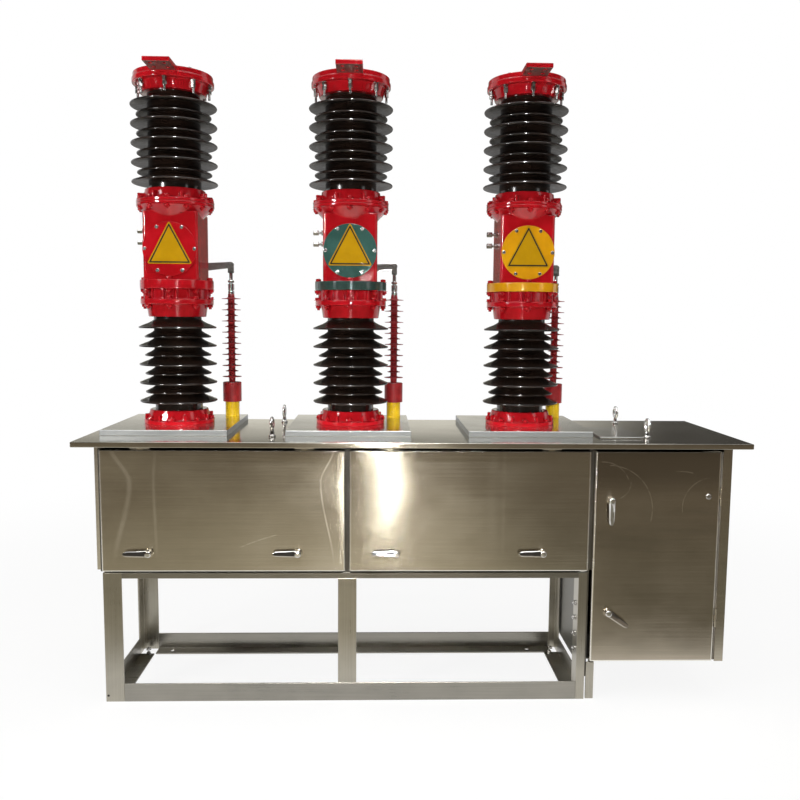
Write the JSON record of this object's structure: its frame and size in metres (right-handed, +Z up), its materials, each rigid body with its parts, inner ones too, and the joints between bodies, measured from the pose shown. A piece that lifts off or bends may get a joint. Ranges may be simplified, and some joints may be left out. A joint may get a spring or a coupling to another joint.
{
  "type": "outdoor vacuum circuit breaker",
  "caption": "Outdoor high-voltage circuit breaker: porcelain poles with crank housings and pull rods on a steel cabinet with a control box, on an open stand.",
  "frame": {"origin": "on the ground under the middle of the roof", "axes": "+X along the row of poles towards the control box, +Y to the back, +Z up"},
  "size_m": [2.491, 0.678, 2.391],
  "materials": {
    "stainless": "brushed",
    "stand_steel": "satin",
    "red_paint": "gloss",
    "green_paint": "gloss",
    "yellow_paint": "gloss",
    "porcelain": "gloss",
    "bright_steel": "polished",
    "arm_steel": "satin",
    "rod_rubber": "satin",
    "tube_plastic": "gloss"
  },
  "bodies": {
    "breaker": {"front_posts": "stand_steel", "back_posts": "stand_steel", "front_rails": "stand_steel", "back_rails": "stand_steel", "side_rails": "stand_steel", "cabinet_floor": "stainless", "back_wall": "stainless", "left_wall": "stainless", "left_end_panel": "stainless", "centre_post": "stainless", "divider_wall": "stainless", "box_right_wall": "stainless", "box_back_wall": "stainless", "box_floor": "stainless", "roof": "stainless", "roof_hatch": "stainless", "lifting_eyes": "bright_steel", "flap_hinges": "stainless", "pole_plates": "stainless", "base_fittings": "red_paint", "upper_fittings": "red_paint", "guide_tubes": "tube_plastic", "left_lower_insulator": "porcelain", "left_crank_housing": "red_paint", "left_phase_ring": "red_paint", "left_cover": "red_paint", "left_upper_insulator": "porcelain", "left_cap": "red_paint", "middle_lower_insulator": "porcelain", "middle_crank_housing": "red_paint", "middle_phase_ring": "green_paint", "middle_cover": "green_paint", "middle_upper_insulator": "porcelain", "middle_cap": "red_paint", "right_lower_insulator": "porcelain", "right_crank_housing": "red_paint", "right_phase_ring": "yellow_paint", "right_cover": "yellow_paint", "right_upper_insulator": "porcelain", "right_cap": "red_paint"},
    "left_flap": {"left_flap": "stainless"},
    "right_flap": {"right_flap": "stainless"},
    "control_door": {"control_door": "stainless"},
    "left_flap_latch_a": {"left_flap_latch_a": "bright_steel"},
    "left_flap_latch_b": {"left_flap_latch_b": "bright_steel"},
    "right_flap_latch_a": {"right_flap_latch_a": "bright_steel"},
    "right_flap_latch_b": {"right_flap_latch_b": "bright_steel"},
    "door_latch_upper": {"door_latch_upper": "bright_steel"},
    "door_latch_lower": {"door_latch_lower": "bright_steel"},
    "left_arm": {"left_arm": "arm_steel"},
    "left_pull_rod": {"left_pull_rod": "rod_rubber"},
    "middle_arm": {"middle_arm": "arm_steel"},
    "middle_pull_rod": {"middle_pull_rod": "rod_rubber"},
    "right_arm": {"right_arm": "arm_steel"},
    "right_pull_rod": {"right_pull_rod": "rod_rubber"}
  },
  "joints": [
    {"name": "left_flap_hinge", "type": "hinge", "parent": "breaker", "child": "left_flap", "pos_m": [-0.70925, -0.294, 0.973], "axis": [-1, 0, 0], "range_deg": [0, 90]},
    {"name": "right_flap_hinge", "type": "hinge", "parent": "breaker", "child": "right_flap", "pos_m": [0.20625, -0.294, 0.973], "axis": [-1, 0, 0], "range_deg": [0, 90]},
    {"name": "control_door_hinge", "type": "hinge", "parent": "breaker", "child": "control_door", "pos_m": [1.1505, -0.294, 0.56], "axis": [0, 0, 1], "range_deg": [0, 110]},
    {"name": "left_flap_latch_a_turn", "type": "hinge", "parent": "left_flap", "child": "left_flap_latch_a", "pos_m": [-0.98425, -0.294, 0.578], "axis": [0, 1, 0], "range_deg": [0, 90]},
    {"name": "left_flap_latch_b_turn", "type": "hinge", "parent": "left_flap", "child": "left_flap_latch_b", "pos_m": [-0.43425, -0.294, 0.578], "axis": [0, 1, 0], "range_deg": [0, 90]},
    {"name": "right_flap_latch_a_turn", "type": "hinge", "parent": "right_flap", "child": "right_flap_latch_a", "pos_m": [-0.06875, -0.294, 0.578], "axis": [0, 1, 0], "range_deg": [0, 90]},
    {"name": "right_flap_latch_b_turn", "type": "hinge", "parent": "right_flap", "child": "right_flap_latch_b", "pos_m": [0.48125, -0.294, 0.578], "axis": [0, 1, 0], "range_deg": [0, 90]},
    {"name": "door_latch_upper_turn", "type": "hinge", "parent": "control_door", "child": "door_latch_upper", "pos_m": [0.7345, -0.294, 0.78], "axis": [0, -1, 0], "range_deg": [0, 90]},
    {"name": "door_latch_lower_turn", "type": "hinge", "parent": "control_door", "child": "door_latch_lower", "pos_m": [0.7345, -0.294, 0.348], "axis": [0, -1, 0], "range_deg": [-55, 35]},
    {"name": "left_rod_slide", "type": "slide", "parent": "breaker", "child": "left_pull_rod", "axis": [0, 0, -1], "range_m": [0, 0.0316]},
    {"name": "left_arm_turn", "type": "hinge", "parent": "breaker", "child": "left_arm", "pos_m": [-0.9515, 0.281, 1.655], "axis": [0, 1, 0], "range_deg": [0, 10]},
    {"name": "middle_rod_slide", "type": "slide", "parent": "breaker", "child": "middle_pull_rod", "axis": [0, 0, -1], "range_m": [0, 0.0316]},
    {"name": "middle_arm_turn", "type": "hinge", "parent": "breaker", "child": "middle_arm", "pos_m": [-0.2515, 0.281, 1.655], "axis": [0, 1, 0], "range_deg": [0, 10]},
    {"name": "right_rod_slide", "type": "slide", "parent": "breaker", "child": "right_pull_rod", "axis": [0, 0, -1], "range_m": [0, 0.0316]},
    {"name": "right_arm_turn", "type": "hinge", "parent": "breaker", "child": "right_arm", "pos_m": [0.4485, 0.281, 1.655], "axis": [0, 1, 0], "range_deg": [0, 10]}
  ],
  "couplings": [
    {"joint": "left_rod_slide", "follows": "middle_rod_slide", "ratio": 1},
    {"joint": "left_arm_turn", "follows": "middle_rod_slide", "rad_per_m": 5.5108},
    {"joint": "middle_arm_turn", "follows": "middle_rod_slide", "rad_per_m": 5.5108},
    {"joint": "right_rod_slide", "follows": "middle_rod_slide", "ratio": 1},
    {"joint": "right_arm_turn", "follows": "middle_rod_slide", "rad_per_m": 5.5108}
  ]
}
